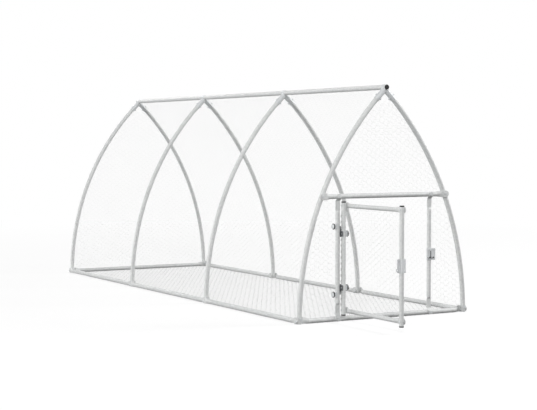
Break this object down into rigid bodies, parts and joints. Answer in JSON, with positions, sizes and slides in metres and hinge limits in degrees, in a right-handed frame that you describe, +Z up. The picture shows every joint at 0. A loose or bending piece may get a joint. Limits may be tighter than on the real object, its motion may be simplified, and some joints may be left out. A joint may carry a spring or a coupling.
{
  "type": "rabbit cage",
  "caption": "Outdoor rabbit run with gothic tube arches, a ridge pole, hexagonal wire netting all round and a hinged, latched door at one end.",
  "frame": {"origin": "on the ground under the middle of the cage, on the underside of the floor net", "axes": "X across the cage, Y along the ridge towards the rear end, Z up; the door end faces -Y"},
  "size_m": [1.0432, 3.5476, 1.1801],
  "materials": {
    "galvanised_tube": "satin galvanised",
    "galvanised_wire": "bright galvanised wire",
    "zinc_plated_steel": "satin zinc plate",
    "blackened_steel": "blackened",
    "black_plastic": "matt moulded"
  },
  "bodies": {
    "frame": {"arch_left_1": "galvanised_tube", "arch_right_1": "galvanised_tube", "arch_left_2": "galvanised_tube", "arch_right_2": "galvanised_tube", "arch_left_3": "galvanised_tube", "arch_right_3": "galvanised_tube", "arch_left_4": "galvanised_tube", "arch_right_4": "galvanised_tube", "base_left_1": "galvanised_tube", "base_right_1": "galvanised_tube", "base_left_2": "galvanised_tube", "base_right_2": "galvanised_tube", "base_left_3": "galvanised_tube", "base_right_3": "galvanised_tube", "base_front": "galvanised_tube", "base_rear": "galvanised_tube", "crossbar": "galvanised_tube", "post_left": "galvanised_tube", "post_right": "galvanised_tube", "frame_screws": "zinc_plated_steel", "frame_bolts": "zinc_plated_steel", "frame_nuts": "zinc_plated_steel", "ridge_front": "galvanised_tube", "ridge_middle": "galvanised_tube", "ridge_rear": "galvanised_tube", "ridge_end_caps": "black_plastic", "ridge_bracket_upper": "zinc_plated_steel", "ridge_bracket_lower": "zinc_plated_steel", "floor_net": "galvanised_wire", "side_net_left": "galvanised_wire", "side_net_right": "galvanised_wire", "rear_net": "galvanised_wire", "front_net_upper": "galvanised_wire", "front_net_left": "galvanised_wire", "front_net_right": "galvanised_wire", "hinge_hook_upper": "zinc_plated_steel", "hinge_hook_lower": "zinc_plated_steel", "hinge_post_saddles": "zinc_plated_steel", "hinge_post_knobs": "black_plastic", "latch_plate": "zinc_plated_steel", "latch_strap": "zinc_plated_steel", "latch_guides": "zinc_plated_steel", "latch_screws": "zinc_plated_steel"},
    "door": {"door_stile_hinge": "galvanised_tube", "door_stile_free": "galvanised_tube", "door_rail_top": "galvanised_tube", "door_rail_bottom": "galvanised_tube", "door_caps": "black_plastic", "door_rail_bolts": "zinc_plated_steel", "door_rail_nuts": "zinc_plated_steel", "door_saddles": "zinc_plated_steel", "door_knobs": "black_plastic", "leaf_bolts": "zinc_plated_steel", "door_net": "galvanised_wire", "hinge_leaf_upper": "zinc_plated_steel", "hinge_leaf_lower": "zinc_plated_steel", "latch_clamp_inner": "zinc_plated_steel", "latch_clamp_outer": "zinc_plated_steel", "latch_rivets": "zinc_plated_steel"},
    "latch_bolt": {"latch_bolt": "blackened_steel"}
  },
  "joints": [
    {"name": "door_hinge", "type": "hinge", "parent": "frame", "child": "door", "pos_m": [-0.2615, -1.5, 0.303], "axis": [0, 0, 1], "range_deg": [0, 90]},
    {"name": "latch_slide", "type": "slide", "parent": "frame", "child": "latch_bolt", "axis": [-1, 0, 0], "range_m": [0, 0.012]}
  ]
}
